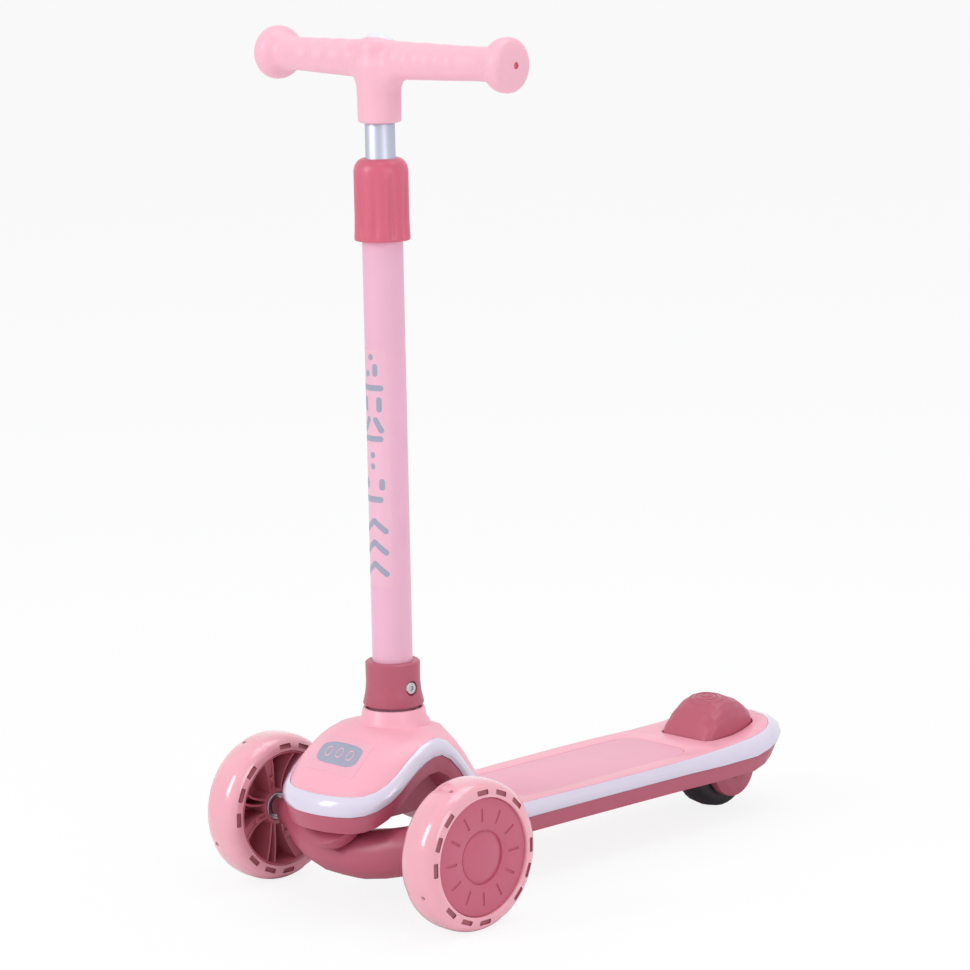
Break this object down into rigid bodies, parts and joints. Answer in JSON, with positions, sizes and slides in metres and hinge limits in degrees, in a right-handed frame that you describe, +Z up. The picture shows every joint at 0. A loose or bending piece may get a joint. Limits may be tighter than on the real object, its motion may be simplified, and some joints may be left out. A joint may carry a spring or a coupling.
{
  "type": "kick scooter",
  "caption": "Child's kick scooter: T handlebar on a telescopic stem, lean-to-steer front axle with translucent wheels, and a small rear wheel under a foot brake.",
  "frame": {"origin": "on the ground, under the middle of the body's length and width", "axes": "+Z up along the stem; the scooter faces -Y; +X to the rider's left"},
  "size_m": [0.2756, 0.524, 0.6855],
  "materials": {
    "pink": "glossy moulded plastic, light pink",
    "pink_soft": "soft satin plastic pad, light pink",
    "stem_pink": "glossy pink paint on steel tube",
    "rose": "satin moulded plastic, rose",
    "clamp_rose": "satin moulded plastic, coral rose",
    "rose_core": "moulded plastic wheel core, rose",
    "clear_pink": "translucent glossy polyurethane, pink",
    "lilac": "glossy translucent plastic light strip, pale lilac",
    "white": "glossy white plastic",
    "grey": "printed grey film",
    "black": "glossy black polyurethane",
    "black_core": "dark moulded plastic, unseen",
    "steel": "zinc-plated steel",
    "aluminium": "brushed and anodised aluminium tube",
    "circuit": "dark circuit strip with small lights"
  },
  "bodies": {
    "base": {"body_base": "rose", "front_shell": "pink", "light_strip": "lilac", "deck_cover": "pink", "deck_pad": "pink_soft", "nose_badge": "grey", "deck_screw_1": "steel", "deck_screw_2": "steel", "deck_screw_3": "steel", "deck_screw_4": "steel", "shell_screw_1": "steel", "shell_screw_2": "steel", "brake_pin": "steel", "brake_spring": "steel", "rear_axle_bolt": "black", "rear_axle_nut": "steel", "outer_tube": "stem_pink", "lower_collar": "rose", "collar_bolt": "steel", "collar_nut": "steel", "stem_plug": "black_core", "stem_bolt": "steel", "clamp_collet": "black_core", "kingpin_bolt": "steel", "kingpin_nut": "steel", "thrust_washer": "steel"},
    "clamp": {"clamp_collar": "clamp_rose"},
    "handle": {"handlebar_grip": "pink", "handlebar_tube": "steel", "handle_cap": "white", "inner_tube": "aluminium", "tube_bush": "black_core"},
    "brake": {"brake_pedal": "rose", "brake_shoe": "steel"},
    "rear_wheel": {"rear_tyre": "black", "rear_core": "black_core", "rear_bearing_left": "steel", "rear_bearing_right": "steel", "rear_spacer": "steel"},
    "axle": {"axle_beam": "rose", "steering_collar": "rose", "steering_spring": "steel", "kingpin_bush": "black_core", "front_axle_bolt_left": "steel", "front_axle_bolt_right": "steel", "dynamo_magnet_left": "steel", "dynamo_magnet_right": "steel"},
    "front_wheel_left": {"front_tyre_left": "clear_pink", "front_core_left": "rose_core", "hub_cap_left": "rose", "led_ring_left": "circuit", "front_bearing_inner_left": "steel", "front_bearing_outer_left": "steel"},
    "front_wheel_right": {"front_tyre_right": "clear_pink", "front_core_right": "rose_core", "hub_cap_right": "rose", "led_ring_right": "circuit", "front_bearing_inner_right": "steel", "front_bearing_outer_right": "steel"}
  },
  "joints": [
    {"name": "clamp_twist", "type": "hinge", "parent": "base", "child": "clamp", "pos_m": [0, -0.167, 0.555], "axis": [0, 0, 1], "range_deg": [0, 90]},
    {"name": "height_slide", "type": "slide", "parent": "base", "child": "handle", "axis": [0, 0, 1], "range_m": [-0.022, 0.15]},
    {"name": "brake_press", "type": "hinge", "parent": "base", "child": "brake", "pos_m": [0, 0.166, 0.0585], "axis": [-1, 0, 0], "range_deg": [0, 2.5], "stiffness_Nm_per_rad": 1, "springref_deg": -8.59},
    {"name": "rear_wheel_spin", "type": "hinge", "parent": "base", "child": "rear_wheel", "pos_m": [0, 0.206, 0.0365], "axis": [1, 0, 0], "continuous": true},
    {"name": "lean_steer", "type": "hinge", "parent": "base", "child": "axle", "pos_m": [0, -0.21, 0.053], "axis": [0, -0.7071, 0.7071], "range_deg": [-15, 15], "stiffness_Nm_per_rad": 35},
    {"name": "front_wheel_left_spin", "type": "hinge", "parent": "axle", "child": "front_wheel_left", "pos_m": [0.113, -0.198, 0.06], "axis": [1, 0, 0], "continuous": true},
    {"name": "front_wheel_right_spin", "type": "hinge", "parent": "axle", "child": "front_wheel_right", "pos_m": [-0.113, -0.198, 0.06], "axis": [1, 0, 0], "continuous": true}
  ]
}
